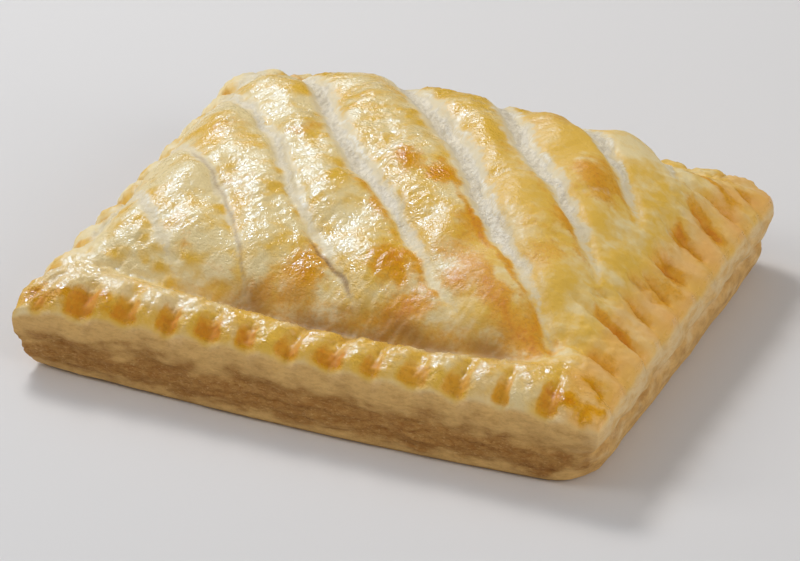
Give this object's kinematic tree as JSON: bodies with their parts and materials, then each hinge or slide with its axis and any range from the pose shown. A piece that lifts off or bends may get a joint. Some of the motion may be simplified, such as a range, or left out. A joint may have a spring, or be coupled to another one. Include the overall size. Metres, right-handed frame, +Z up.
{
  "type": "steak bake",
  "caption": "Rectangular puff-pastry parcel with a crimped rim and a domed, egg-washed lid scored by diagonal slashes; a hand-held baked savoury, uncut and solid throughout.",
  "frame": {"origin": "on the resting surface, under the middle of the bounding box", "axes": "+X along the long edges, left to right as seen from the front; +Y from the front edge to the back edge; +Z up"},
  "size_m": [0.1346, 0.1118, 0.0409],
  "materials": {
    "crust": "golden baked puff pastry under a glossy egg wash, paler in the slashes and on the sides"
  },
  "bodies": {
    "root": {"pastry": "crust"}
  },
  "joints": []
}
